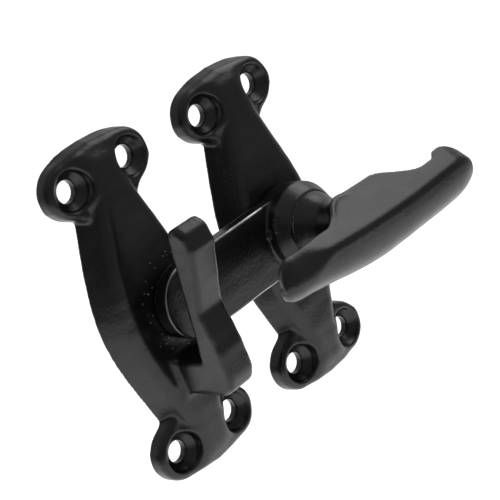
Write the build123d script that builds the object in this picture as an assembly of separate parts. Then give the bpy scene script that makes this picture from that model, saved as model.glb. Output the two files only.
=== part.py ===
from build123d import *
import math
import os

# Gate latch of four castings: a keep with its hook, a latch plate, a pivoting bar and a lever.
# Millimetres. +X points right, -Y out to the front, +Z up. The origin is the middle of the latch
# plate's screw pattern, on the back plane that meets the gate, and the pivot axis runs through it.

# Screw pattern, the same on both plates
screw_spacing_x = 20.4
screw_spacing_z = 76.0
screw_hole_dia = 5.9
screw_recess_dia = 11.5
screw_recess_depth = 2.4
screw_seat_dish = 0.4
cut_past = 1.0

# Plate casting, the same on both plates
plate_rise = 8.4
body_half_width = 16.6
neck_half_width = 11.1
neck_below_screws = 11.5
ridge_half_width = 7.1
ridge_past_screws = 7.8
flank_inset = 4.2
front_edge_radius = 2.0
lug_thickness = 5.1
lug_ear_radius = 7.6
lug_ear_inset = 0.3
lug_crown_rise = 1.1
lug_toe_radius = 2.8
lug_toe_inset = 2.0
lug_rim_radius = 1.9
lug_draft = 0.3

# Keep: where it stands beside the latch plate, and its hook
keep_offset_x = -47.9
keep_offset_z = 1.4
hook_width = 9.0
shelf_top_z = -13.6
shelf_thickness = 10.2
throat_gap = 10.4
prong_height = 37.7
prong_lean = 6.6
prong_waist_height = 14.2
prong_waist_thickness = 5.2
prong_brow_height = 31.0
prong_brow_thickness = 8.6
prong_foot_thickness = 9.3
prong_foot_height = 2.8
prong_foot_radius = 7.1
prong_back_drop = 1.5
prong_front_drop = 2.0
prong_crown_radius = 2.9
prong_waist_radius = 2.6
hook_edge_radius = 0.9
hook_root_radius = 1.5

# Latch bar and its hub
running_gap = 0.3
bar_lift_off = 0.3
bar_thickness = 4.5
bar_half_height = 10.2
bar_reach = 51.8
bar_edge_radius = 0.7
hub_radius = 11.8
hub_rim_height = 7.4
hub_rim_radius = 2.2
hub_boss_height = 11.4
hub_boss_radius = 9.2

# Spindle, turned and squared on the back of the lever
journal_radius = 4.3
journal_clearance = 0.06
square_across_flats = 8.6
square_clearance = 0.05
rivet_head_radius = 7.0
rivet_head_thickness = 2.2
rivet_recess_radius = 8.5
rivet_recess_depth = 3.4

# Lever: falls are per millimetre of length, runs and starts are measured along X
neck_radius = 6.4
neck_length = 12.9
neck_flare_radius = 8.4
neck_flare_length = 6.5
neck_sink = 0.8
neck_under_facet = 0.6
lever_left = -33.0
lever_right = 47.2
lever_depth = 7.5
lever_ridge_z = -1.5
lever_ridge_low = 25.0
lever_ridge_rise = 4.7
lever_facet_slope = 0.8
lever_thumb_radius = 7.6
lever_thumb_draw = 3.9
lever_thumb_draw_run = 47.0
lever_edge_depth = 4.8
lever_root_depth = 10.2
lever_root_start = -12.0
lever_root_ramp = 13.0
lever_root_run = 16.0
lever_root_end = 30.0
lever_bottom_z = -12.7
lever_belly_inset = 1.2
lever_belly_height = 5.6
lever_heel_inset = 5.4
lever_tip_radius = 9.0
lever_tip_draw = 0.5
lever_tip_draw_run = 20.0
lever_edge_radius = 0.8
lever_ridge_radius = 0.5
lever_belly_radius = 4.0
lever_heel_radius = 1.5

# Levels in front of the back plane, each from the sizes above
half_x = screw_spacing_x / 2
half_z = screw_spacing_z / 2
neck_z = half_z - neck_below_screws
ridge_z = half_z + ridge_past_screws
hub_back = plate_rise + running_gap
bar_back = hub_back + bar_lift_off
boss_front = hub_back + hub_boss_height
lever_back = boss_front + neck_length
rivet_seat = rivet_recess_depth - running_gap

FRONT = Plane(origin=(0, 0, 0), x_dir=(1, 0, 0), z_dir=(0, -1, 0))
SIDE = Plane(origin=(0, 0, 0), x_dir=(0, -1, 0), z_dir=(-1, 0, 0))


def at_front(level):
    """Drawing plane that faces the front, at a height above the back plane."""
    return FRONT.offset(level)


def turned(points):
    """Solid of revolution about the pivot axis from (radius, level) points."""
    half = Plane.XY * make_face(Polyline(*[(r, -level) for r, level in points], close=True))
    return revolve(half, axis=Axis.Y)


def body_outline(inset):
    """Waisted outline of the plate's body, drawn in by the flank's inset."""
    end_half = ridge_half_width - inset
    neck_half = neck_half_width - inset
    middle_half = body_half_width - inset
    end = ridge_z - inset
    right = Spline((end_half, end), (neck_half, neck_z), (middle_half, 0),
                   (neck_half, -neck_z), (end_half, -end))
    left = mirror(right, about=Plane.YZ)
    top = Line((-end_half, end), (end_half, end))
    bottom = Line((-end_half, -end), (end_half, -end))
    return make_face([right, top, left, bottom])


def lug_outline(inset):
    """Butterfly outline of one lug, drawn in by its draft: two ears, a crown and the notch's toes."""
    ear_x = half_x - lug_ear_inset
    toe_x = neck_half_width - lug_toe_inset - lug_toe_radius
    toe_z = neck_z + lug_toe_radius
    rounds = [
        (-ear_x, half_z, lug_ear_radius),
        (ear_x, half_z, lug_ear_radius),
        (0, half_z, lug_ear_radius + lug_crown_rise),
        (-toe_x, toe_z, lug_toe_radius),
        (toe_x, toe_z, lug_toe_radius),
    ]
    return make_hull([(Pos(x, z) * Circle(r - inset)).edge() for x, z, r in rounds])


def mounting_plate():
    """Plate casting without bore or hook: raised body, two lugs and four screw holes."""
    body = loft([FRONT * body_outline(0), at_front(plate_rise) * body_outline(flank_inset)])
    back_edges = body.faces().sort_by(Axis.Y)[-1].edges()
    body = fillet(body.edges() - back_edges, front_edge_radius)
    lug = loft([FRONT * lug_outline(0), at_front(lug_thickness) * lug_outline(lug_draft)], ruled=True)
    lug = fillet(lug.faces().sort_by(Axis.Y)[0].edges(), lug_rim_radius)
    plate = body + lug + mirror(lug, about=Plane.XY)
    seat = lug_thickness - screw_recess_depth
    hole = turned([
        (0, -cut_past),
        (screw_hole_dia / 2, -cut_past),
        (screw_hole_dia / 2, seat - screw_seat_dish),
        (screw_recess_dia / 2, seat),
        (screw_recess_dia / 2, plate_rise + cut_past),
        (0, plate_rise + cut_past),
    ])
    for x in (-half_x, half_x):
        for z in (-half_z, half_z):
            plate -= Pos(x, 0, z) * hole
    return plate


def hook_solid():
    """Shelf and rising prong of the keep, drawn in profile and given the hook's width."""
    root = plate_rise / 2
    throat = plate_rise + throat_gap
    lean = prong_lean / prong_height
    top = shelf_top_z + prong_height
    bottom = shelf_top_z - shelf_thickness
    waist = throat + lean * prong_waist_height + prong_waist_thickness
    brow = throat + lean * prong_brow_height + prong_brow_thickness
    foot = throat + prong_foot_thickness
    crown = (throat + prong_lean + brow) / 2
    corners = [
        (root, shelf_top_z, 0),
        (throat, shelf_top_z, hook_edge_radius),
        (throat + prong_lean, top - prong_back_drop, hook_edge_radius),
        (crown, top, prong_crown_radius),
        (brow - hook_edge_radius, top - prong_front_drop, hook_edge_radius),
        (brow, shelf_top_z + prong_brow_height, hook_edge_radius),
        (waist, shelf_top_z + prong_waist_height, prong_waist_radius),
        (foot, shelf_top_z + prong_foot_height, prong_waist_radius),
        (foot - hook_edge_radius, bottom, prong_foot_radius),
        (root, bottom, 0),
    ]
    points = [(n, z) for n, z, _ in corners]
    rounds = [r for _, _, r in corners]
    outline = FilletPolyline(*points, radius=rounds, close=True)
    solid = extrude(SIDE * make_face(outline), amount=hook_width / 2, both=True)
    sides = solid.faces().filter_by(Axis.X).edges()
    buried = solid.faces().sort_by(Axis.Y)[-1].edges()
    return fillet(sides - buried, hook_edge_radius)


def keep_plate():
    """Plate with the hook cast on, its root rounded into the plate's face."""
    keep = mounting_plate() + hook_solid()
    face = keep.faces().filter_by(Axis.Y).sort_by(lambda f: abs(f.center().Y + plate_rise))[0]
    root = face.inner_wires()[0].edges()
    keep = fillet(root, hook_root_radius)
    return Pos(keep_offset_x, 0, keep_offset_z) * keep


def latch_plate():
    """Plate bored for the spindle, with a recess behind for the riveted end."""
    plate = mounting_plate()
    bore = journal_radius + journal_clearance
    front = plate_rise + cut_past
    plate -= turned([(0, -cut_past), (bore, -cut_past), (bore, front), (0, front)])
    recess = rivet_recess_radius
    depth = rivet_recess_depth
    plate -= turned([(0, -cut_past), (recess, -cut_past), (recess, depth), (0, depth)])
    return plate


def latch_bar():
    """Flat bar with a full round end, cast in one with the hub it swings on."""
    straight = bar_reach - bar_half_height
    outline = Pos(-straight / 2, 0) * Rectangle(straight, 2 * bar_half_height)
    outline += Pos(-straight, 0) * Circle(bar_half_height)
    bar = extrude(at_front(bar_back) * outline, amount=bar_thickness)
    bar = fillet(bar.faces().filter_by(Axis.Y).edges(), bar_edge_radius)
    rim_front = hub_back + hub_rim_height
    half = FilletPolyline(
        (0, -hub_back), (hub_radius, -hub_back), (hub_radius, -rim_front),
        (hub_boss_radius, -boss_front), (0, -boss_front),
        radius=[0, bar_edge_radius, hub_rim_radius, bar_edge_radius, 0], close=True)
    hub = revolve(Plane.XY * make_face(half), axis=Axis.Y)
    square = square_across_flats + 2 * square_clearance
    hole = extrude(FRONT * Rectangle(square, square), amount=boss_front + cut_past)
    return bar + hub - hole


def smooth(t):
    """Ease from 0 to 1 with level ends."""
    t = min(1.0, max(0.0, t))
    return t * t * (3 - 2 * t)


def lever_section(x):
    """Closed section of the lever at x: leaning back, upper facet, ridge and full lower belly."""
    from_left = min(1.0, (x - lever_left) / lever_thumb_radius)
    from_right = min(1.0, (lever_right - x) / lever_tip_radius)
    size = math.sqrt(1 - (1 - from_left) ** 2) * math.sqrt(1 - (1 - from_right) ** 2)
    root = smooth((x - lever_root_start) / lever_root_ramp) * smooth((lever_root_end - x) / lever_root_run)
    drawn_left = smooth((lever_left + lever_thumb_draw_run - x) / lever_thumb_draw_run)
    drawn_right = smooth((x - lever_right + lever_tip_draw_run) / lever_tip_draw_run)
    front = lever_back + lever_depth
    depth = lever_edge_depth + (lever_root_depth - lever_edge_depth) * root
    along = (lever_ridge_low - x) / (lever_ridge_low - lever_left)
    ridge = lever_ridge_z + lever_ridge_rise * along ** 2
    bottom = lever_bottom_z + lever_thumb_draw * drawn_left + lever_tip_draw * drawn_right
    middle_n = (lever_back + front) / 2
    middle_z = (ridge + bottom) / 2
    corners = [
        (lever_back, bottom, lever_edge_radius),
        (front - depth, ridge + lever_facet_slope * depth, lever_edge_radius),
        (front, ridge, lever_ridge_radius),
        (front - lever_belly_inset, bottom + lever_belly_height, lever_belly_radius),
        (front - lever_heel_inset, bottom, lever_heel_radius),
    ]
    levels = [middle_n + size * (n - middle_n) for n, _, _ in corners]
    heights = [middle_z + size * (z - middle_z) for _, z, _ in corners]
    rounds = [size * r for _, _, r in corners]
    outline = FilletPolyline(*zip(levels, heights), radius=rounds, close=True)
    plane = Plane(origin=(x, 0, 0), x_dir=(0, -1, 0), z_dir=(-1, 0, 0))
    return plane * make_face(outline)


def lever_handle():
    """Ridged lever with its neck, squared spindle and riveted end in one casting."""
    first = lever_left + lever_thumb_radius
    last = lever_right - lever_tip_radius
    root_full = lever_root_start + lever_root_ramp
    ends = (0.02, 0.15, 0.45)
    stations = [lever_left + lever_thumb_radius * part for part in ends]
    stations += [first, (first + lever_root_start) / 2, lever_root_start]
    stations += [lever_root_start + lever_root_ramp / 2, root_full]
    stations += [root_full + (last - root_full) * part for part in (0.25, 0.5, 0.75, 1.0)]
    stations += [lever_right - lever_tip_radius * part for part in reversed(ends)]
    lever = loft([lever_section(x) for x in stations])
    inside = lever_back + neck_sink
    neck = turned([
        (0, boss_front),
        (neck_flare_radius, boss_front),
        (neck_radius, boss_front + neck_flare_length),
        (neck_radius, inside),
        (0, inside),
    ])
    ridge = lever_ridge_z + lever_ridge_rise * (lever_ridge_low / (lever_ridge_low - lever_left)) ** 2
    below = (0, -lever_back - lever_depth, ridge - neck_under_facet)
    under = Plane(origin=below, z_dir=(0, -lever_facet_slope, 1))
    neck = split(neck, bisect_by=under, keep=Keep.BOTTOM)
    square = extrude(at_front(hub_back) * Rectangle(square_across_flats, square_across_flats),
                     amount=boss_front - hub_back)
    head = rivet_seat - rivet_head_thickness
    rivet = turned([
        (0, head),
        (rivet_head_radius - rivet_head_thickness / 2, head),
        (rivet_head_radius, head + rivet_head_thickness / 2),
        (rivet_head_radius, rivet_seat),
        (journal_radius, rivet_seat),
        (journal_radius, hub_back),
        (0, hub_back),
    ])
    return lever + neck + square + rivet


os.makedirs("parts", exist_ok=True)
export_step(keep_plate(), "parts/keep_plate.step")
export_step(latch_plate(), "parts/latch_plate.step")
export_step(latch_bar(), "parts/latch_bar.step")
export_step(lever_handle(), "parts/lever_handle.step")
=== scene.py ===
"""Looks of a black cast gate latch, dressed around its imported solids.

The frame is the part's own: metres, +X right along the bar, -Y out to the front, +Z up.
Sizes below are millimetres; "out" is the height in front of the back plane, which is -Y.
"""

import itertools
import logging
from collections.abc import Callable
from dataclasses import dataclass
from enum import Enum

import bpy
import numpy as np
from bpy.types import Material, Node, NodeSocket, NodeTree, Object, World
from mathutils import Matrix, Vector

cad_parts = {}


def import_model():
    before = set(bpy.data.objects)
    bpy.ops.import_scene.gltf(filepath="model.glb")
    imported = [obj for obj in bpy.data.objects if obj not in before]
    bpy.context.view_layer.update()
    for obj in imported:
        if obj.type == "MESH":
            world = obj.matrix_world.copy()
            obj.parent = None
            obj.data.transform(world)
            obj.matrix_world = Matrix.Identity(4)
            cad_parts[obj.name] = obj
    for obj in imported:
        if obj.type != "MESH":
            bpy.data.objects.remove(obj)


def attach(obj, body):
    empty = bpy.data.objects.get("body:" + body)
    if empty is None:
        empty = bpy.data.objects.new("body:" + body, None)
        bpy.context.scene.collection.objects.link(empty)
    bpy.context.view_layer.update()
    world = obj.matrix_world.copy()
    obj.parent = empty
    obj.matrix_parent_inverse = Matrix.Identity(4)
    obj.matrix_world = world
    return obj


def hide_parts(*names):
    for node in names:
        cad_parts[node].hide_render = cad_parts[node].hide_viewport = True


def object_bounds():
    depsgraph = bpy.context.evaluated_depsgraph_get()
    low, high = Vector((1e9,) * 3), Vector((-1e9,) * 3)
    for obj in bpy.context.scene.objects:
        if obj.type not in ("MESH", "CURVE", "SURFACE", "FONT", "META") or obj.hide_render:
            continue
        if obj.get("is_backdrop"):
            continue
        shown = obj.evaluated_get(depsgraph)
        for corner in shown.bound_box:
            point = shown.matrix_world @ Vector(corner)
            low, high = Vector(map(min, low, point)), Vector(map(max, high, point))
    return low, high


log = logging.getLogger("gate_latch")

MM = 0.001
WHITE = (1.0, 1.0, 1.0, 1.0)
CELL_CORNERS = list(itertools.product((0, 1), repeat=3))

Array = np.ndarray
Pair = tuple[float, float]
Point = tuple[float, float, float]
Box = tuple[Point, Point]
Skin = Callable[[Array, Array, Array], Array]


class Body(Enum):
    """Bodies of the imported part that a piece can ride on."""

    PLATES = "plates"
    LATCH = "latch"


class Coating(Enum):
    """Names of the record's material slots for the castings; the coatings built here don't use them."""

    PLATE = "black_casting"
    BAR = "black_casting_moving"
    LEVER = "black_casting_lever"


def node(tree: NodeTree, kind: str, inputs: dict[str | int, object] | None = None,
         **settings: object) -> Node:
    """Add a node; an input given as a socket is linked, any other is set on the node's own socket.

    Args:
        tree: node tree to add to.
        kind: type of the node.
        inputs: sockets or constants by input name or number.
        settings: properties of the node, set before its inputs.

    Returns:
        The new node.
    """
    made = tree.nodes.new(kind)
    for key, value in settings.items():
        setattr(made, key, value)
    for key, value in (inputs or {}).items():
        if isinstance(value, NodeSocket):
            tree.links.new(value, made.inputs[key])
        else:
            made.inputs[key].default_value = value
    return made


def worked(tree: NodeTree, operation: str,
           *terms: NodeSocket | float) -> NodeSocket:
    """Value that a Math node works out from sockets and constants."""
    return node(tree, "ShaderNodeMath", dict(enumerate(terms)), operation=operation).outputs["Value"]


def ranged(tree: NodeTree, value: NodeSocket, given: Pair = (0.0, 1.0),
           wanted: Pair = (0.0, 1.0)) -> NodeSocket:
    """Value carried from the given range to the wanted one, and held at its ends."""
    ends = dict(zip(("From Min", "From Max", "To Min", "To Max"), (*given, *wanted)))
    return node(tree, "ShaderNodeMapRange", {"Value": value, **ends}).outputs["Result"]


def bare_tree(owner: Material | World) -> NodeTree:
    """Node tree of a new material or world, emptied."""
    owner.use_nodes = True
    owner.node_tree.nodes.clear()
    return owner.node_tree


def seen_rays(tree: NodeTree) -> NodeSocket:
    """Mask of the rays that show the background: the camera's, and those off gloss or through glass.

    Args:
        tree: node tree of the world or of a stage material.

    Returns:
        Socket that is 1 for such a ray and 0 for any other.
    """
    path = node(tree, "ShaderNodeLightPath").outputs
    seen = worked(tree, "MAXIMUM", path["Is Camera Ray"], path["Is Glossy Ray"])
    return worked(tree, "MAXIMUM", seen, path["Is Transmission Ray"])


@dataclass(frozen=True)
class CastGrain:
    """Effect that the coatings share: grain, pits, patches, specks and rubbed edges of a casting.

    Args:
        fine_detail: octaves of the fine grain.
        broad_scale: patches of the coating per metre.
        broad_detail: octaves of the patches.
        broad_weight: height of the patches against the fine grain.
        pit_scale: cells per metre that may hold a pit.
        pit_share: share of those cells that hold one.
        pit_reach: radius of a pit in cells.
        pit_depth: depth of a pit against the fine grain.
        speck_scale: cells per metre that may hold a speck.
        speck_radius: radius of a speck's core and of its rim in cells.
        tight: bend of an edge at which rubbing starts, and at which it is full.
        patchy: levels of the patches between which rubbing grows.
        least: share of the rubbing on the lowest patches.
    """

    fine_detail: float = 3.0
    broad_scale: float = 140.0
    broad_detail: float = 4.0
    broad_weight: float = 2.6
    pit_scale: float = 430.0
    pit_share: float = 0.12
    pit_reach: float = 0.3
    pit_depth: float = 1.2
    speck_scale: float = 700.0
    speck_radius: Pair = (0.07, 0.14)
    tight: Pair = (0.16, 0.5)
    patchy: Pair = (0.36, 0.6)
    least: float = 0.35

    def group(self) -> NodeTree:
        """Build the shared node group once.

        Returns:
            Group that gives grain height, coating patches and what is rubbed bare.
        """
        found = bpy.data.node_groups.get("cast_grain")
        if found is not None:
            return found
        group = bpy.data.node_groups.new("cast_grain", "ShaderNodeTree")
        group.interface.new_socket("Place", in_out="INPUT", socket_type="NodeSocketVector")
        for name in ("Grain scale", "Edge", "Speck share"):
            group.interface.new_socket(name, in_out="INPUT", socket_type="NodeSocketFloat")
        for name in ("Height", "Patch", "Rubbed"):
            group.interface.new_socket(name, in_out="OUTPUT", socket_type="NodeSocketFloat")
        given = group.nodes.new("NodeGroupInput").outputs
        place = {"Vector": given["Place"]}
        broad = node(group, "ShaderNodeTexNoise", {
            **place, "Scale": self.broad_scale, "Detail": self.broad_detail}).outputs["Fac"]
        fine = node(group, "ShaderNodeTexNoise", {
            **place, "Scale": given["Grain scale"], "Detail": self.fine_detail}).outputs["Fac"]
        pits = node(group, "ShaderNodeTexVoronoi", {**place, "Scale": self.pit_scale}).outputs
        few = worked(group, "LESS_THAN", pits["Color"], self.pit_share)
        depth = ranged(group, pits["Distance"], (0.0, self.pit_reach), (self.pit_depth, 0.0))
        swell = worked(group, "MULTIPLY_ADD", broad, self.broad_weight, fine)
        height = worked(group, "SUBTRACT", swell, worked(group, "MULTIPLY", few, depth))
        cells = node(group, "ShaderNodeTexVoronoi", {**place, "Scale": self.speck_scale}).outputs
        near = ranged(group, cells["Distance"], self.speck_radius, (1.0, 0.0))
        picked = worked(group, "LESS_THAN", cells["Color"], given["Speck share"])
        tight = ranged(group, given["Edge"], self.tight)
        patchy = ranged(group, broad, self.patchy, (self.least, 1.0))
        edge = worked(group, "MULTIPLY", tight, patchy)
        rubbed = worked(group, "MAXIMUM", edge, worked(group, "MULTIPLY", near, picked))
        node(group, "NodeGroupOutput", {"Height": height, "Patch": broad, "Rubbed": rubbed})
        return group


@dataclass(frozen=True)
class BlackCoating:
    """Satin black coating over a sand-cast surface, rubbed through on its tightest edges.

    Args:
        name: material name.
        dark: colour of the thick coating.
        light: colour where the coating is thin.
        bare: colour of the metal where the coating is rubbed off.
        satin: lowest roughness, on the smooth patches.
        matt: highest roughness, on the grainy patches.
        grain_mm: size of the casting grain.
        grain_height_mm: height of the casting grain.
        speck: share of the surface's cells with a small glinting speck.
        scuffed: the same share where the surface is scuffed.
        wear: how metallic a rubbed edge is.
        rub: how hard the edges are rubbed.
        effect: grain and wear that all the coatings share.
    """

    name: str
    dark: Point = (0.0015, 0.0015, 0.0018)
    light: Point = (0.0045, 0.0045, 0.005)
    bare: Point = (0.55, 0.54, 0.53)
    satin: float = 0.24
    matt: float = 0.38
    grain_mm: float = 0.9
    grain_height_mm: float = 0.05
    speck: float = 0.015
    scuffed: float = 0.45
    wear: float = 0.8
    rub: float = 0.6
    effect: CastGrain = CastGrain()

    def material(self) -> Material:
        """Build the material once.

        Returns:
            The material with its Principled shader and the shared node group.
        """
        found = bpy.data.materials.get(self.name)
        if found is not None:
            return found
        made = bpy.data.materials.new(self.name)
        tree = bare_tree(made)
        place = node(tree, "ShaderNodeTexCoord").outputs["Object"]
        bend = node(tree, "ShaderNodeAttribute", attribute_name="edge_bend").outputs["Fac"]
        scuff = node(tree, "ShaderNodeAttribute", attribute_name="scuff").outputs["Fac"]
        grain = node(tree, "ShaderNodeGroup", {
            "Place": place, "Grain scale": 1.0 / (self.grain_mm * MM),
            "Edge": worked(tree, "MULTIPLY", bend, self.rub),
            "Speck share": ranged(tree, scuff, wanted=(self.speck, self.scuffed))},
            node_tree=self.effect.group()).outputs
        coat = node(tree, "ShaderNodeMix", {
            "Factor": grain["Patch"], "A": (*self.dark, 1.0), "B": (*self.light, 1.0)},
            data_type="RGBA")
        worn = node(tree, "ShaderNodeMix", {
            "Factor": grain["Rubbed"], "A": coat.outputs["Result"], "B": (*self.bare, 1.0)},
            data_type="RGBA")
        bump = node(tree, "ShaderNodeBump", {
            "Height": grain["Height"], "Distance": self.grain_height_mm * MM})
        shader = node(tree, "ShaderNodeBsdfPrincipled", {
            "Base Color": worn.outputs["Result"],
            "Metallic": ranged(tree, grain["Rubbed"], wanted=(0.0, self.wear)),
            "Roughness": ranged(tree, grain["Patch"], wanted=(self.satin, self.matt)),
            "Normal": bump.outputs["Normal"], "IOR": 1.5, "Specular IOR Level": 0.5})
        node(tree, "ShaderNodeOutputMaterial", {"Surface": shader.outputs["BSDF"]})
        return made


def soft_min(a: Array, b: Array, reach: float | Array) -> Array:
    """Lesser of two distances, run together where they come within reach of each other."""
    near = np.maximum(reach - np.abs(a - b), 0.0) / reach
    return np.minimum(a, b) - near * near * reach / 4


def soft_max(a: Array, b: Array, reach: float | Array) -> Array:
    """Greater of two distances, with the edge between them rounded over that reach."""
    return -soft_min(-a, -b, reach)


def ease(t: Array) -> Array:
    """Rise from 0 to 1 with level ends: three squares less two cubes."""
    t = np.clip(t, 0.0, 1.0)
    return t * t * (3 - 2 * t)


def tapered_rod(a: Array, b: Array, start: Point, end: Point) -> Array:
    """Distance in a plane to a rod with round ends.

    Args:
        a, b: coordinates of the points.
        start: first and second coordinate and radius at one end.
        end: the same at the other end.

    Returns:
        Distance to the nearest point of the middle line, less the radius there.
    """
    run = (end[0] - start[0], end[1] - start[1])
    along = ((a - start[0]) * run[0] + (b - start[1]) * run[1]) / (run[0] ** 2 + run[1] ** 2)
    along = np.clip(along, 0.0, 1.0)
    away = np.hypot(a - start[0] - along * run[0], b - start[1] - along * run[1])
    return away - start[2] - along * (end[2] - start[2])


def polygon(a: Array, b: Array, corners: list[Pair]) -> Array:
    """Signed distance in a plane to a closed outline of straight runs.

    Args:
        a, b: coordinates of the points.
        corners: corners of the outline in order.

    Returns:
        Distance to the nearest run, negative inside.
    """
    nearest = np.full(np.shape(a), np.inf)
    crossings = np.zeros(np.shape(a), bool)
    for (a0, b0), (a1, b1) in zip(corners, corners[1:] + corners[:1]):
        run_a, run_b = a1 - a0, b1 - b0
        along = ((a - a0) * run_a + (b - b0) * run_b) / (run_a ** 2 + run_b ** 2)
        along = np.clip(along, 0.0, 1.0)
        square = (a - a0 - along * run_a) ** 2 + (b - b0 - along * run_b) ** 2
        nearest = np.minimum(nearest, square)
        if b0 != b1:
            crossings ^= ((b0 > b) != (b1 > b)) & (a < run_a * (b - b0) / run_b + a0)
    return np.where(crossings, -1.0, 1.0) * np.sqrt(nearest)


@dataclass(frozen=True)
class SandSkin:
    """Unevenness that the sand mould leaves: a sum of waves in fixed, scattered directions."""

    height: float = 0.045
    length: float = 9.0
    spread: Pair = (0.5, 1.6)
    waves: int = 14
    seed: int = 5

    def __call__(self, x: Array, y: Array, z: Array) -> Array:
        """Add up sines along the drawn directions, each with its own length and start.

        Args:
            x, y, z: coordinates of the points.

        Returns:
            Height of the unevenness at the points.
        """
        draw = np.random.default_rng(self.seed)
        total = np.zeros(np.shape(x))
        for _ in range(self.waves):
            way = draw.normal(size=3)
            way *= 2 * np.pi / (self.length * draw.uniform(*self.spread) * np.linalg.norm(way))
            total += np.sin(way[0] * x + way[1] * y + way[2] * z + draw.uniform(0, 2 * np.pi))
        return self.height * total / np.sqrt(self.waves)


class Casting:
    """What a casting gives its wrapper: its surface, its wear and the box to search."""

    box_corners: Box = ((0.0, 0.0, 0.0), (0.0, 0.0, 0.0))

    def skin(self, x: Array, y: Array, z: Array) -> Array:
        """Distance to the surface in millimetres, negative inside."""
        raise NotImplementedError

    def scuff(self, x: Array, y: Array, z: Array) -> Array:
        """Share of scuffing, 0 to 1: none on a plain casting."""
        return np.zeros(np.shape(x))

    def rub(self, x: Array, y: Array, z: Array) -> Array:
        """How far edges are open to rubbing, 0 to 1: everywhere on a plain casting."""
        return np.ones(np.shape(x))

    def box(self) -> Box:
        """Lowest and highest corner of a box that holds the casting."""
        return self.box_corners


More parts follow.
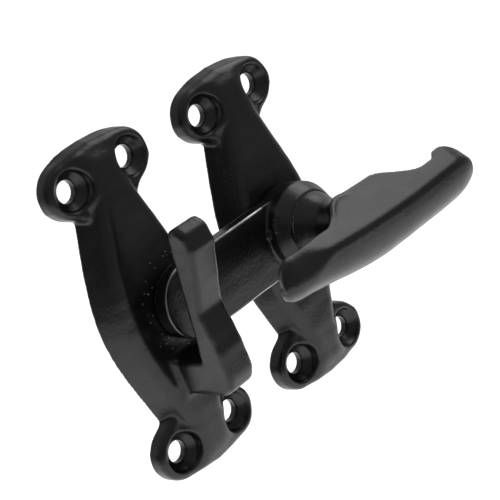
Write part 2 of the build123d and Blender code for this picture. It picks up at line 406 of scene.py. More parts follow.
@dataclass(frozen=True)
class Wrapper:
    """Closed mesh of the level surface of a distance field.

    Each cell of a grid that the surface passes gets one point at the mean of its edge crossings,
    each grid edge that it crosses gets a four-sided face, and the points are then evened out and
    set down on the surface along its slope.
    """

    pitch: float = 0.4
    rounds: int = 3
    settlings: int = 2
    probes_per_pitch: float = 5.0
    least_slope: float = 0.1

    def wrap(self, name: str, shape: Casting) -> Object:
        """Mesh one casting and keep its wear as attributes.

        Args:
            name: name of the new object.
            shape: the casting.

        Returns:
            The object, at the origin, with its place in its mesh.
        """
        low, high = (np.array(corner, float) for corner in shape.box())
        counts = np.ceil((high - low) / self.pitch).astype(int) + 1
        axes = [low[k] + self.pitch * np.arange(counts[k]) for k in range(3)]
        value = shape.skin(*np.meshgrid(*axes, indexing="ij"))
        inside = value < 0
        cells = tuple(counts - 1)
        filled = sum(self.shifted(inside, corner, cells).astype(np.int8) for corner in CELL_CORNERS)
        cut = (filled > 0) & (filled < len(CELL_CORNERS))
        number = np.full(cells, -1)
        number[cut] = np.arange(np.count_nonzero(cut))
        points = low + self.pitch * self.crossings(value, np.argwhere(cut))
        quads = np.concatenate([self.faces(inside, number, axis) for axis in range(3)])
        for _ in range(self.rounds):
            points = self.settle(shape.skin, self.evened(points, quads))
        made = self.mesh_object(name, points * MM, quads)
        bend = self.bend(shape.skin, points) * shape.rub(*points.T)
        for layer, share in (("edge_bend", bend), ("scuff", shape.scuff(*points.T))):
            kept = made.data.attributes.new(layer, "FLOAT", "POINT")
            kept.data.foreach_set("value", share.astype(np.float32))
        return made

    def bend(self, skin: Skin, points: Array) -> Array:
        """Tightness of the edges: field round a point less the field there, 1 on a square edge."""
        around = sum(skin(*(points + step).T) + skin(*(points - step).T)
                     for step in np.eye(3) * self.pitch)
        return (around - 6 * skin(*points.T)) / (2 * self.pitch)

    @staticmethod
    def shifted(grid: Array, corner: tuple[int, int, int], cells: tuple[int, int, int]) -> Array:
        """Grid values at one corner of every cell."""
        return grid[tuple(slice(c, c + size) for c, size in zip(corner, cells))]

    @staticmethod
    def crossings(value: Array, cell: Array) -> Array:
        """Mean of the points where the surface crosses each cell's twelve edges.

        Args:
            value: distance field on the grid.
            cell: numbers of the cells that the surface passes.

        Returns:
            One point for each cell, in grid steps.
        """
        ends = [(a, b) for a in CELL_CORNERS for b in CELL_CORNERS
                if sum(b) == sum(a) + 1 and sum(abs(i - j) for i, j in zip(a, b)) == 1]
        start = np.array([a for a, _ in ends])
        stop = np.array([b for _, b in ends])
        at_start = value[tuple((cell[:, None, :] + start).transpose(2, 0, 1))]
        at_stop = value[tuple((cell[:, None, :] + stop).transpose(2, 0, 1))]
        crossed = (at_start < 0) != (at_stop < 0)
        part = np.where(crossed, at_start / np.where(crossed, at_start - at_stop, 1.0), 0.0)
        place = start + part[..., None] * (stop - start)
        mean = (place * crossed[..., None]).sum(1) / crossed.sum(1)[:, None]
        return cell + mean

    @staticmethod
    def faces(inside: Array, number: Array, axis: int) -> Array:
        """Four-sided faces round the crossed grid edges along one axis, turned outwards.

        Args:
            inside: which grid points lie inside.
            number: each cell's point number.
            axis: direction of the grid edges.

        Returns:
            Four point numbers for each face.
        """
        order = (axis, (axis + 1) % 3, (axis + 2) % 3)
        inside = np.moveaxis(inside, order, (0, 1, 2))
        number = np.moveaxis(number, order, (0, 1, 2))
        near = inside[:-1, 1:-1, 1:-1]
        far = inside[1:, 1:-1, 1:-1]
        ring = np.stack([number[:, :-1, :-1], number[:, 1:, :-1],
                         number[:, 1:, 1:], number[:, :-1, 1:]], -1)
        outward = ring[near & ~far]
        inward = ring[far & ~near][:, ::-1]
        return np.concatenate([outward, inward])

    @staticmethod
    def evened(points: Array, quads: Array) -> Array:
        """Move each point half-way to the mean of its neighbours.

        Args:
            points: points of the mesh.
            quads: its faces.

        Returns:
            The moved points.
        """
        start = quads.ravel()
        stop = np.roll(quads, -1, axis=1).ravel()
        ends = np.concatenate([start, stop])
        others = np.concatenate([stop, start])
        many = np.bincount(ends, minlength=len(points))[:, None]
        sums = [np.bincount(ends, weights=points[others, k], minlength=len(points)) for k in range(3)]
        return (points + np.stack(sums, 1) / many) / 2

    def settle(self, skin: Skin, points: Array) -> Array:
        """Set points down on the surface: go back along the slope by value over slope squared.

        Args:
            skin: distance field of the casting.
            points: points near its surface.

        Returns:
            The settled points.
        """
        reach = self.pitch / self.probes_per_pitch
        for _ in range(self.settlings):
            value = skin(*points.T)
            slope = np.stack([(skin(*(points + step).T) - skin(*(points - step).T)) / (2 * reach)
                              for step in np.eye(3) * reach], 1)
            steep = np.maximum((slope ** 2).sum(1), self.least_slope)
            move = value[:, None] * slope / steep[:, None]
            points = points - np.clip(move, -self.pitch, self.pitch)
        return points

    @staticmethod
    def mesh_object(name: str, points: Array, quads: Array) -> Object:
        """Put points and faces into a new smooth-shaded object.

        Args:
            name: name of the object and its mesh.
            points: places of the points in metres.
            quads: four point numbers for each face.

        Returns:
            The object, linked to the scene.
        """
        mesh = bpy.data.meshes.new(name)
        mesh.vertices.add(len(points))
        mesh.vertices.foreach_set("co", points.astype(np.float32).ravel())
        mesh.loops.add(quads.size)
        mesh.loops.foreach_set("vertex_index", quads.astype(np.int32).ravel())
        mesh.polygons.add(len(quads))
        mesh.polygons.foreach_set("loop_start", np.arange(0, quads.size, 4, dtype=np.int32))
        mesh.update(calc_edges=True)
        mesh.shade_smooth()
        made = bpy.data.objects.new(name, mesh)
        bpy.context.scene.collection.objects.link(made)
        return made


@dataclass
class PlateCasting(Casting):
    """Plate pattern that keep and latch share: a raised waisted body with a lug at each end.

    The half section of the body is |x| within w(z) less the flank's lean, with w falling from the
    middle by a square and a cubic term; the lugs are tapered rods from crown to ear and ear to toe.
    """

    centre_x: float = 0.0
    centre_z: float = 0.0
    screw_x: float = 10.2
    screw_z: float = 38.0
    hole_radius: float = 2.95
    hole_round: float = 0.3
    recess_radius: float = 5.3
    recess_wall: float = 1.2
    recess_round: float = 0.6
    seat_radius: float = 4.7
    seat_slope: float = 0.8
    mouth_round: float = 0.8
    rise: float = 8.4
    body_half: float = 16.6
    body_square: float = -0.0123667
    body_cubic: float = 0.00017112
    body_end: float = 45.8
    flank_inset: float = 4.2
    front_round: float = 2.2
    crown_drop: float = 1.6
    lug_thickness: float = 5.1
    lug_round: float = 2.3
    lug_draft: float = 0.05
    ear_x: float = 9.9
    ear_radius: float = 7.6
    ear_blend: float = 1.0
    crown_radius: float = 8.7
    toe: Point = (6.3, 29.3, 2.8)
    waist_blend: float = 0.8
    crown_blend: float = 3.6
    crown_blend_run: float = 6.0
    back_round: float = 0.5
    box_half: Pair = (19.0, 48.6)
    box_margin: float = 1.2
    unevenness: SandSkin = SandSkin()

    def body(self, x: Array, out: Array, z: Array) -> Array:
        """Raised body: leaning flanks and a flat front that sinks towards the crowns.

        Args:
            x, out, z: distances from the plate's middle line, back plane and middle height.

        Returns:
            Distance to the body.
        """
        half = self.body_half + self.body_square * z ** 2 + self.body_cubic * z ** 3
        lean = self.flank_inset / self.rise
        steep = np.sqrt(1 + lean ** 2 + (2 * self.body_square * z) ** 2 / 2)
        flank = (x - half + lean * out) / steep
        sink = self.crown_drop * ease((z - self.toe[1]) / (self.body_end - self.toe[1]))
        front = out - self.rise + sink
        end = (z - self.body_end + lean * out) / np.sqrt(1 + lean ** 2)
        return soft_max(soft_max(flank, front, self.front_round), end, self.front_round)

    def lug(self, x: Array, out: Array, z: Array) -> Array:
        """Butterfly lug with a rounded rim: two tapered rods, cut off at the lug's thickness.

        Args:
            x, out, z: distances from the plate's middle line, back plane and middle height.

        Returns:
            Distance to the lug.
        """
        ear = (self.ear_x, self.screw_z, self.ear_radius)
        outline = tapered_rod(x, z, (0.0, self.screw_z, self.crown_radius), ear)
        outline = soft_min(outline, tapered_rod(x, z, ear, self.toe), self.ear_blend)
        return soft_max(outline + self.lug_draft * out, out - self.lug_thickness, self.lug_round)

    def screw_hole(self, x: Array, out: Array, z: Array) -> Array:
        """Through hole and the recess for the screw's head: a short wall over a conical seat.

        Args:
            x, out, z: distances from the plate's middle line, back plane and middle height.

        Returns:
            Distance to the hollow.
        """
        away = np.hypot(x - self.screw_x, z - self.screw_z)
        seat = self.lug_thickness - self.recess_wall - self.seat_slope * (self.seat_radius - away)
        cone = (seat - out) / np.sqrt(1 + self.seat_slope ** 2)
        recess = soft_max(away - self.recess_radius, cone, self.recess_round)
        return soft_min(recess, away - self.hole_radius, self.hole_round)

    def skin(self, x: Array, y: Array, z: Array) -> Array:
        """Join body and lugs, add what the plate has of its own, and cut the holes.

        Args:
            x, y, z: coordinates of the points.

        Returns:
            Distance to the plate's surface.
        """
        out = -y
        side = np.abs(x - self.centre_x)
        end = np.abs(z - self.centre_z)
        blend = self.waist_blend + self.crown_blend * ease((end - self.toe[1]) / self.crown_blend_run)
        plate = soft_min(self.body(side, out, end), self.lug(side, out, end), blend)
        plate = self.added(plate, x - self.centre_x, out, z - self.centre_z)
        plate = plate + self.unevenness(x, y, z)
        plate = soft_max(plate, -self.screw_hole(side, out, end), self.mouth_round)
        return soft_max(plate, -out, self.back_round)

    def added(self, plate: Array, x: Array, out: Array, z: Array) -> Array:
        """What a plate adds to the shared pattern: nothing here."""
        return plate

    def box(self) -> Box:
        """Lowest and highest corner of a box that holds the plate."""
        half_x, half_z = self.box_half
        return ((self.centre_x - half_x, -self.rise - self.box_margin, self.centre_z - half_z),
                (self.centre_x + half_x, self.box_margin, self.centre_z + half_z))


@dataclass
class KeepCasting(PlateCasting):
    """Keep: the plate with the hook that catches the bar."""

    centre_x: float = -47.9
    centre_z: float = 1.4
    hook_half: float = 4.5
    hook_front: float = 35.0
    shelf_top: float = -13.6
    shelf_thickness: float = 10.2
    throat_gap: float = 10.4
    prong_height: float = 37.7
    prong_lean: float = 6.6
    crest_back_drop: float = 1.5
    crest_front_drop: float = 2.0
    crest_front_inset: float = 0.9
    waist_height: float = 14.2
    waist_thickness: float = 5.2
    brow_height: float = 31.0
    brow_thickness: float = 8.6
    foot_thickness: float = 9.3
    foot_top: float = 2.84
    foot_rise: float = 5.0
    heel: Pair = (1.8, 1.6)
    sole_inset: float = 5.0
    hook_round: float = 1.7
    corner_soft: float = 1.0
    root_round: float = 2.2
    bar_end_x: float = -41.6
    scuff_radius: float = 12.6
    scuff_width: float = 1.8
    scuff_past: float = 4.0
    scuff_depth: float = 1.0

    def profile(self) -> list[Pair]:
        """Profile of the hook: shelf, leaning throat, crest, brow, waist, foot and sole.

        Returns:
            Corners of the profile as (out, up).
        """
        throat = self.rise + self.throat_gap
        lean = self.prong_lean / self.prong_height
        top = self.shelf_top + self.prong_height
        bottom = self.shelf_top - self.shelf_thickness
        crest = throat + self.prong_lean
        waist = throat + lean * self.waist_height + self.waist_thickness
        brow = throat + lean * self.brow_height + self.brow_thickness
        foot = throat + self.foot_thickness
        return [
            (self.rise / 2, self.shelf_top), (throat, self.shelf_top),
            (crest, top - self.crest_back_drop), ((crest + brow) / 2, top),
            (brow - self.crest_front_inset, top - self.crest_front_drop),
            (brow, self.shelf_top + self.brow_height), (waist, self.shelf_top + self.waist_height),
            (foot, self.shelf_top + self.foot_top), (foot, bottom + self.foot_rise),
            (foot - self.heel[0], bottom + self.heel[1]), (foot - self.sole_inset, bottom),
            (self.rise / 2, bottom),
        ]

    def added(self, plate: Array, x: Array, out: Array, z: Array) -> Array:
        """Hook, its profile's corners softened by a mean over small steps, run in with a cast root.

        Args:
            plate: distance to the shared pattern.
            x, out, z: places from the plate's middle line, back plane and middle height.

        Returns:
            Distance to plate and hook.
        """
        corners = self.profile()
        step = self.corner_soft
        around = ((0.0, 0.0), (step, 0.0), (-step, 0.0), (0.0, step), (0.0, -step))
        outline = sum(polygon(out + a, z + b, corners) for a, b in around) / len(around)
        hook = soft_max(outline, np.abs(x) - self.hook_half, self.hook_round)
        return soft_min(plate, hook, self.root_round)

    def scuff(self, x: Array, y: Array, z: Array) -> Array:
        """Scuffing in a ring on the face, where the bar's end swings past.

        Args:
            x, y, z: coordinates of the points.

        Returns:
            Share of scuffing: a bell curve across the ring.
        """
        away = np.hypot(x - self.bar_end_x, z)
        ring = np.exp(-((away - self.scuff_radius) / self.scuff_width) ** 2)
        ring = ring * (x < self.bar_end_x + self.scuff_past)
        return ring * (np.abs(-y - self.rise) < self.scuff_depth)

    def box(self) -> Box:
        """Lowest and highest corner of a box that holds plate and hook."""
        low, high = super().box()
        return (low[0], -self.hook_front, low[2]), high


@dataclass
class LatchCasting(PlateCasting):
    """Latch plate: the plate with a recess behind for the spindle's riveted end."""

    rivet_recess_radius: float = 8.5
    rivet_recess_depth: float = 3.4
    bore_radius: float = 4.5
    bore_round: float = 0.3

    def added(self, plate: Array, x: Array, out: Array, z: Array) -> Array:
        """Bore and rivet recess on the pivot axis, cut out of the plate.

        Args:
            plate: distance to the shared pattern.
            x, out, z: places right of the pivot, in front of the back plane and up.

        Returns:
            Distance to the bored plate.
        """
        away = np.hypot(x, z)
        recess = np.maximum(away - self.rivet_recess_radius, out - self.rivet_recess_depth)
        hollow = np.minimum(recess, away - self.bore_radius)
        return soft_max(plate, -hollow, self.bore_round)


@dataclass
class BarCasting(Casting):
    """Flat bar with a full round end and a slightly crowned face, run into the hub it swings on.

    The hub is the half profile of rim and cone, shrunk and grown again by its rounding, turned
    about the pivot; small runs of coating stand on its left flank.
    """

    back: float = 9.0
    thickness: float = 4.5
    half_height: float = 10.2
    reach: float = 51.8
    edge_round: float = 0.45
    crown: float = 0.45
    hub_back: float = 8.7
    hub_radius: float = 11.8
    rim_out: float = 16.1
    boss_radius: float = 9.2
    boss_out: float = 20.1
    hub_round: float = 1.6
    hub_root: float = 0.8
    run_places: tuple[tuple[float, float, float, float], ...] = (
        (-9.0, 16.3, 7.0, 0.6), (-9.9, 16.0, 6.0, 0.55), (-10.5, 15.6, 5.0, 0.6),
        (-10.9, 16.1, 3.7, 0.5), (-11.3, 14.2, 3.5, 0.5), (-11.6, 14.1, 2.3, 0.55),
    )
    run_blend: float = 0.75
    scuff_place: Point = (-10.4, 15.6, 4.4)
    scuff_reach: float = 3.0
    scuff_most: float = 0.5
    rub_start: Pair = (-47.0, 6.0)
    rub_end: Pair = (-8.5, 2.0)
    rub_below_rim: float = 2.0
    rub_hub: Pair = (-13.0, 2.0)
    rub_shares: Point = (0.4, 0.6, 0.3)
    box_corners: Box = ((-53.2, -21.4, -13.2), (13.2, -7.4, 13.2))
    unevenness: SandSkin = SandSkin(height=0.03)

    def hub(self, away: Array, out: Array) -> Array:
        """Hub of rim and cone, its corners moved in by the rounding and the whole grown by it.

        Args:
            away, out: distances from the pivot axis and the back plane.

        Returns:
            Distance to the hub.
        """
        inner = self.hub_round
        run = (self.boss_radius - self.hub_radius, self.boss_out - self.rim_out)
        length = float(np.hypot(*run))
        lean = inner * (length - run[1]) / -run[0]
        step = inner * (length + run[0]) / run[1]
        rim = self.hub_radius - inner
        corners = [
            (-self.hub_radius, self.hub_back + inner), (rim, self.hub_back + inner),
            (rim, self.rim_out - lean), (self.boss_radius - step, self.boss_out - inner),
            (-self.hub_radius, self.boss_out - inner),
        ]
        return polygon(away, out, corners) - inner

    def skin(self, x: Array, y: Array, z: Array) -> Array:
        """Run bar and hub together, and set the runs of coating on them.

        Args:
            x, y, z: coordinates of the points.

        Returns:
            Distance to the surface of bar and hub.
        """
        out = -y
        outline = tapered_rod(x, z, (0.0, 0.0, self.half_height),
                              (self.half_height - self.reach, 0.0, self.half_height))
        front = out - self.back - self.thickness + self.crown * (z / self.half_height) ** 2
        bar = soft_max(outline, np.maximum(front, self.back - out), self.edge_round)
        whole = soft_min(bar, self.hub(np.hypot(x, z), out), self.hub_root)
        whole = whole + self.unevenness(x, y, z)
        for at_x, at_out, at_z, size in self.run_places:
            drop = np.sqrt((x - at_x) ** 2 + (out - at_out) ** 2 + (z - at_z) ** 2) - size
            whole = soft_min(whole, drop, self.run_blend)
        return whole

    def scuff(self, x: Array, y: Array, z: Array) -> Array:
        """Scuffing among the runs of coating: a bell curve of the distance from their middle.

        Args:
            x, y, z: coordinates of the points.

        Returns:
            Share of scuffing.
        """
        at_x, at_out, at_z = self.scuff_place
        away = np.sqrt((x - at_x) ** 2 + (-y - at_out) ** 2 + (z - at_z) ** 2)
        return self.scuff_most * np.exp(-(away / self.scuff_reach) ** 2)

    def rub(self, x: Array, y: Array, z: Array) -> Array:
        """Rubbing along the straight edges, less at the round end, and least at the hub.

        Args:
            x, y, z: coordinates of the points; z is not used.

        Returns:
            How far the edges are open to rubbing.
        """
        ends = ease((x - self.rub_start[0]) / self.rub_start[1])
        straight = ends * ease((self.rub_end[0] - x) / self.rub_end[1])
        straight = straight * (-y < self.rim_out - self.rub_below_rim)
        everywhere, added, kept_off = self.rub_shares
        at_hub = ease((x - self.rub_hub[0]) / self.rub_hub[1])
        return everywhere + added * straight - kept_off * at_hub


@dataclass
class LeverCasting(Casting):
    """Ridged lever with a lip behind its tip, its neck and the spindle.

    The section at x lies under a sloping upper facet that starts at the ridge, and behind a lower
    face that rolls back by a linear and a fourth-power term of the way down; ridge, bottom and back
    are functions of x, and the sections shrink to their middle by a quarter ellipse at both ends.
    A pair of sizes for a change along the lever is where it starts and over what length it goes.
    """

    back: float = 33.0
    front: float = 40.5
    left: float = -33.8
    right: float = 46.9
    thumb_length: float = 7.2
    tip_length: float = 9.0
    end_limit: float = 0.995
    ridge_line: Point = (-0.6, -0.07, 0.0014)
    ridge_round: float = 1.3
    ridge_fade: float = 6.0
    ridge_fade_run: Pair = (-15.0, 13.0)
    facet_slope: float = 0.8
    edge_back: float = 35.4
    edge_round: float = 1.0
    thumb_round: float = 1.4
    thumb_round_run: Pair = (-12.0, 12.0)
    root_back: float = 29.8
    root_rise: Pair = (-12.0, 13.0)
    root_fall: Pair = (30.0, 16.0)
    lip_depth: float = 1.3
    lip_rise: Pair = (33.6, 3.0)
    lip_fall: Pair = (46.0, 8.0)
    back_turn: Pair = (-10.0, 8.0)
    bottom_level: float = -13.3
    bottom_round: float = 1.0
    thumb_draw: float = 5.2
    thumb_draw_run: Pair = (10.0, 44.0)
    tip_draw: float = 0.4
    tip_draw_run: Pair = (30.0, 18.0)
    roll_near: float = 0.7
    roll_far: float = 6.0
    roll_limits: Pair = (-0.5, 1.2)
    neck_radius: float = 6.4
    neck_back: float = 20.0
    neck_flare: float = 2.6
    neck_flare_lead: float = 1.0
    neck_flare_run: float = 8.0
    neck_sink: float = 0.5
    neck_root: float = 2.0
    journal_radius: float = 4.3
    journal_lap: float = 0.5
    rivet_radius: float = 7.0
    rivet_levels: Pair = (0.9, 3.1)
    rivet_round: float = 1.4
    box_corners: Box = ((-34.6, -42.0, -15.0), (51.0, -0.2, 14.0))
    unevenness: SandSkin = SandSkin(height=0.03, length=12.0)

    @staticmethod
    def rising(x: Array, run: Pair) -> Array:
        """Ease from 0 to 1 to the right of the run's start."""
        return ease((x - run[0]) / run[1])

    @staticmethod
    def falling(x: Array, run: Pair) -> Array:
        """Ease from 1 to 0 towards the run's start on the right."""
        return ease((run[0] - x) / run[1])

    def ridge(self, x: Array) -> Array:
        """Height of the ridge: a fall to the right that flattens towards the tip."""
        level, fall, flatten = self.ridge_line
        return level + fall * x + flatten * x ** 2

    def rear(self, x: Array, z: Array) -> Array:
        """Level of the back: flat below, nearer at the upper edge, swelling where the neck runs in.

        Args:
            x, z: places along the lever and up.

        Returns:
            Height of the back in front of the back plane.
        """
        root = self.rising(x, self.root_rise) * self.falling(x, self.root_fall)
        lip = self.lip_depth * self.rising(x, self.lip_rise) * self.falling(x, self.lip_fall)
        edge = self.edge_back + (self.root_back - self.edge_back) * root - lip
        return self.back + (edge - self.back) * self.rising(z, self.back_turn)

    def bottom(self, x: Array) -> Array:
        """Height of the bottom: fullest right of the middle, drawn up towards the thumb."""
        thumb = self.thumb_draw * self.falling(x, self.thumb_draw_run)
        return self.bottom_level + thumb + self.tip_draw * self.rising(x, self.tip_draw_run)

    def lower(self, x: Array, out: Array, z: Array) -> Array:
        """Face below the ridge: falls back by a linear and a fourth-power term of the way down.

        Args:
            x, out, z: places along the lever, in front of the back plane and up.

        Returns:
            Distance in front of the face, set right for its slope.
        """
        ridge = self.ridge(x)
        height = ridge - self.bottom(x)
        way = np.clip((ridge - z) / height, *self.roll_limits)
        down = np.maximum(way, 0.0)
        fall = self.roll_near * way + self.roll_far * down ** 4
        slope = (self.roll_near + 4 * self.roll_far * down ** 3) / height
        return (out - self.front + fall) / np.sqrt(1 + slope ** 2)

    def section(self, x: Array, out: Array, z: Array) -> Array:
        """Section of the lever at x, its ends left open.

        Args:
            x, out, z: places along the lever, in front of the back plane and up.

        Returns:
            Distance to facet, lower face, bottom and back, with rounded edges.
        """
        facet = self.ridge(x) + self.facet_slope * (self.front - out)
        upper = (z - facet) / np.hypot(1.0, self.facet_slope)
        soft = self.ridge_round + self.ridge_fade * self.falling(x, self.ridge_fade_run)
        body = soft_max(self.lower(x, out, z), upper, soft)
        body = soft_max(body, self.bottom(x) - z, self.bottom_round)
        edge = self.edge_round + self.thumb_round * self.falling(x, self.thumb_round_run)
        return soft_max(body, self.rear(x, z) - out, edge)

    def skin(self, x: Array, y: Array, z: Array) -> Array:
        """Close the lever's ends, and run it together with neck and spindle.

        Args:
            x, y, z: coordinates of the points.

        Returns:
            Distance to the surface of lever, neck and spindle.
        """
        out = -y
        right = np.clip((x - self.right + self.tip_length) / self.tip_length, 0.0, self.end_limit)
        left = np.clip((self.left + self.thumb_length - x) / self.thumb_length, 0.0, self.end_limit)
        size = np.sqrt((1 - right ** 2) * (1 - left ** 2))
        middle_out = (self.front + self.back) / 2
        middle_z = (self.ridge(x) + self.bottom(x)) / 2
        body = size * self.section(
            x, middle_out + (out - middle_out) / size, middle_z + (z - middle_z) / size)
        body = np.maximum(body, np.maximum(self.left - x, x - self.right))
        away = np.hypot(x, z)
        drawn = ease((out - self.neck_back + self.neck_flare_lead) / self.neck_flare_run)
        flare = self.neck_flare * (1 - drawn)
        neck = np.maximum(away - self.neck_radius - flare, self.neck_back - out)
        neck = np.maximum(neck, out - self.rear(x, z) - self.neck_sink)
        whole = soft_min(body, neck, self.neck_root) + self.unevenness(x, y, z)
        return np.minimum(whole, self.spindle(away, out))

    def spindle(self, away: Array, out: Array) -> Array:
        """Journal and its riveted end.

        Args:
            away, out: distances from the pivot axis and the back plane.

        Returns:
            Distance to the spindle.
        """
        low, high = self.rivet_levels
        ends = np.maximum(high - self.journal_lap - out, out - self.neck_back - self.journal_lap)
        journal = np.maximum(away - self.journal_radius, ends)
        head = soft_max(away - self.rivet_radius, low - out, self.rivet_round)
        return np.minimum(journal, np.maximum(head, out - high))


def standing(right: Array, up: Array, back: Array, place: Array) -> Matrix:
    """Matrix of an object with these three axes at that place."""
    matrix = np.eye(4)
    matrix[:3] = np.stack([right, up, back, place], 1)
    return Matrix(matrix.tolist())


@dataclass(frozen=True)
class Softbox:
    """Soft rectangular lamp that points at the part's origin; gloss shows it if in_gloss is set."""

    name: str
    place_m: Point
    size_m: Pair
    watts: float
    in_gloss: bool = True

    def hang(self) -> Object:
        """Add the lamp to the scene.

        Returns:
            The lamp, its lower edge level.
        """
        data = bpy.data.lights.new(self.name, "AREA")
        data.shape = "RECTANGLE"
        data.size, data.size_y = self.size_m
        data.energy = self.watts
        made = bpy.data.objects.new(self.name, data)
        place = np.array(self.place_m)
        back = place / np.linalg.norm(place)
        side = np.cross((0.0, 0.0, 1.0), back)
        side /= np.linalg.norm(side)
        made.matrix_world = standing(side, np.cross(back, side), back, place)
        made.visible_glossy = self.in_gloss
        bpy.context.scene.collection.objects.link(made)
        return made


@dataclass(frozen=True)
class Curtain:
    """Cloth of the tent: its name, the angles it hangs between and the light it passes on."""

    name: str
    arc_deg: Pair
    glow: float


@dataclass
class Studio:
    """White studio: pale floor, a tent of grey cloths, soft lamps, and the photograph's camera."""

    camera_place_mm: Point = (-289.31, -342.69, 143.98)
    camera_right: Point = (0.6457, -0.6796, -0.3482)
    camera_back: Point = (-0.6019, -0.7336, 0.3156)
    camera_clip_m: Pair = (0.01, 100.0)
    focal_px: float = 1703.2
    frame_px: float = 500.0
    sensor_mm: float = 36.0
    floor_drop_mm: float = 150.0
    floor_half_m: float = 6.0
    floor_grey: float = 0.8
    floor_glow: float = 0.85
    surround: float = 0.4
    tent_centre_m: Pair = (-0.22, 0.1)
    tent_radius_m: float = 0.7
    tent_top_m: float = 0.5
    tent_grey: float = 0.3
    curtains: tuple[Curtain, ...] = (
        Curtain("front_curtain", (195.0, 350.0), 0.11),
        Curtain("left_curtain", (130.0, 195.0), 0.02),
        Curtain("rear_curtain", (350.0, 490.0), 0.45),
    )
    curtain_columns: int = 40
    cloth_rows: int = 4
    lid_columns: int = 73
    lid_glow: float = 0.2
    lamps: tuple[Softbox, ...] = (
        Softbox("side_softbox", (0.292, -0.073, 0.335), (0.40, 0.26), 0.66),
        Softbox("fill_softbox", (-0.30, -0.40, 0.35), (0.4, 0.4), 1.2, in_gloss=False),
    )

    def camera(self) -> Object:
        """Make the scene's camera from its place and its right and back directions.

        Returns:
            The camera.
        """
        data = bpy.data.cameras.new("photo_camera")
        data.sensor_width = self.sensor_mm
        data.lens = self.sensor_mm * self.focal_px / self.frame_px
        data.clip_start, data.clip_end = self.camera_clip_m
        made = bpy.data.objects.new("photo_camera", data)
        back = np.array(self.camera_back)
        back /= np.linalg.norm(back)
        right = np.array(self.camera_right)
        right -= back * right.dot(back)
        right /= np.linalg.norm(right)
        place = np.array(self.camera_place_mm) * MM
        made.matrix_world = standing(right, np.cross(back, right), back, place)
        bpy.context.scene.collection.objects.link(made)
        bpy.context.scene.camera = made
        return made

    def world(self) -> None:
        """White where the camera, mirrors and glass look, a plain level of light elsewhere."""
        world = bpy.data.worlds.new("studio_world")
        bpy.context.scene.world = world
        tree = bare_tree(world)
        level = ranged(tree, seen_rays(tree), wanted=(self.surround, 1.0))
        sky = node(tree, "ShaderNodeBackground", {"Color": WHITE, "Strength": level})
        node(tree, "ShaderNodeOutputWorld", {"Surface": sky.outputs["Background"]})

    @staticmethod
    def backdrop(name: str, points: list[Point], faces: list[tuple[int, ...]],
                 material: Material) -> Object:
        """Put a floor or a cloth into the scene.

        Args:
            name: name of the object and its mesh.
            points: places of its points in metres.
            faces: point numbers of its faces.
            material: what it is made of.

        Returns:
            The object, marked as stage.
        """
        mesh = bpy.data.meshes.new(name)
        mesh.from_pydata(points, [], faces)
        mesh.materials.append(material)
        made = bpy.data.objects.new(name, mesh)
        bpy.context.scene.collection.objects.link(made)
        made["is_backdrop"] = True
        return made

    def floor(self, low: float) -> Object:
        """Pale floor well below the held part; it keeps a soft shadow.

        Args:
            low: height of the floor in metres.

        Returns:
            The floor.
        """
        half = self.floor_half_m
        corners = [(-half, -half, low), (half, -half, low), (half, half, low), (-half, half, low)]
        material = bpy.data.materials.new("pale_floor")
        tree = bare_tree(material)
        glow = node(tree, "ShaderNodeEmission", {
            "Strength": ranged(tree, seen_rays(tree), wanted=(0.0, self.floor_glow))})
        matt = node(tree, "ShaderNodeBsdfDiffuse", {"Color": (*(self.floor_grey,) * 3, 1.0)})
        whole = node(tree, "ShaderNodeAddShader", {0: matt.outputs["BSDF"], 1: glow.outputs["Emission"]})
        node(tree, "ShaderNodeOutputMaterial", {"Surface": whole.outputs["Shader"]})
        return self.backdrop("floor", corners, [(0, 1, 2, 3)], material)

    def cloth(self, name: str, radius: Array, turn: Array, level: Array,
              glow: float) -> Object:
        """Cloth of the tent: a grid of radius, angle and height about the tent's middle.

        Args:
            name: name of the cloth.
            radius: radii of the grid in metres.
            turn: angles of the grid.
            level: heights of the grid in metres.
            glow: level of the light it passes on.

        Returns:
            The cloth, never in the camera's view.
        """
        centre_x, centre_y = self.tent_centre_m
        points = np.stack([
            centre_x + radius * np.cos(turn), centre_y + radius * np.sin(turn), level], -1)
        number = np.arange(turn.size).reshape(turn.shape)
        quads = np.stack([number[:-1, :-1], number[1:, :-1], number[1:, 1:], number[:-1, 1:]], -1)
        material = bpy.data.materials.new(name + "_cloth")
        tree = bare_tree(material)
        shader = node(tree, "ShaderNodeBsdfPrincipled", {
            "Base Color": (*(self.tent_grey,) * 3, 1.0), "Roughness": 1.0,
            "Specular IOR Level": 0.0, "Emission Color": WHITE, "Emission Strength": glow})
        node(tree, "ShaderNodeOutputMaterial", {"Surface": shader.outputs["BSDF"]})
        made = self.backdrop(
            name, points.reshape(-1, 3).tolist(), quads.reshape(-1, 4).tolist(), material)
        made.visible_camera = False
        return made

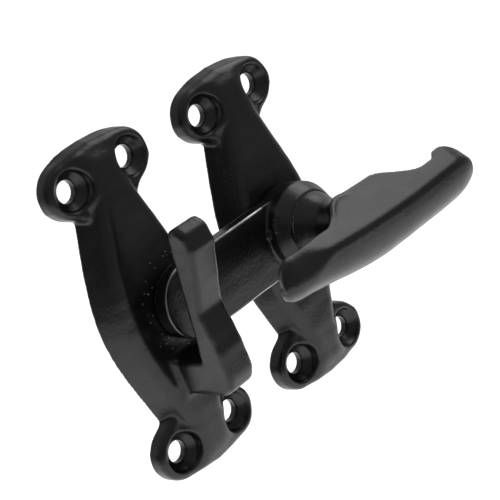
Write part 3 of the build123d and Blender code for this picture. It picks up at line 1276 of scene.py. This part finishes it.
    def tent(self, low: float) -> None:
        """Stand the curtains and a lid round the part.

        Args:
            low: height of the floor in metres.
        """
        height = np.linspace(low, self.tent_top_m, self.cloth_rows)
        for curtain in self.curtains:
            arc = np.radians(np.linspace(*curtain.arc_deg, self.curtain_columns))
            turn, level = np.meshgrid(arc, height, indexing="ij")
            radius = np.full(turn.shape, self.tent_radius_m)
            self.cloth(curtain.name, radius, turn, level, curtain.glow)
        round_about = np.radians(np.linspace(0.0, 360.0, self.lid_columns))
        spoke = np.linspace(0.0, self.tent_radius_m, self.cloth_rows)
        turn, radius = np.meshgrid(round_about, spoke, indexing="ij")
        self.cloth("tent_lid", radius, turn, np.full(turn.shape, self.tent_top_m), self.lid_glow)

    def build(self, lowest: float) -> None:
        """Set up camera, world, floor, tent and lamps.

        Args:
            lowest: height of the part's lowest point in metres.
        """
        low = lowest - self.floor_drop_mm * MM
        self.camera()
        self.world()
        self.floor(low)
        self.tent(low)
        for lamp in self.lamps:
            lamp.hang()
        bpy.context.scene.view_settings.view_transform = "Standard"


@dataclass
class GateLatch:
    """The whole latch: each casting meshed, put on its body and dressed in its coating."""

    wrapper: Wrapper = Wrapper()
    plate_coat: BlackCoating = BlackCoating("plate_coat")
    bar_coat: BlackCoating = BlackCoating("bar_coat", rub=1.5)
    lever_coat: BlackCoating = BlackCoating("lever_coat", rub=0.7)

    def casting(self, stands_for: str, shape: Casting, body: Body,
                coat: BlackCoating) -> Object:
        """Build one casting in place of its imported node.

        Args:
            stands_for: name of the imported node.
            shape: the casting's shape.
            body: body that it rides on.
            coat: its finish.

        Returns:
            The finished piece.
        """
        made = self.wrapper.wrap(stands_for + "_casting", shape)
        made.data.materials.append(coat.material())
        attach(made, body.value)
        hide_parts(stands_for)
        log.info("%s: %d faces on %s", made.name, len(made.data.polygons), body.value)
        return made

    def build(self) -> None:
        """Build the four castings."""
        self.casting("keep_plate", KeepCasting(), Body.PLATES, self.plate_coat)
        self.casting("latch_plate", LatchCasting(), Body.PLATES, self.plate_coat)
        self.casting("latch_bar", BarCasting(), Body.LATCH, self.bar_coat)
        self.casting("lever_handle", LeverCasting(), Body.LATCH, self.lever_coat)


def main() -> None:
    """Build the look of the latch in order."""
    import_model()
    cad_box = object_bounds()
    GateLatch().build()
    Studio().build(cad_box[0][2])


if __name__ == "__main__":
    logging.basicConfig(level=logging.INFO, format="%(name)s: %(message)s")
    main()
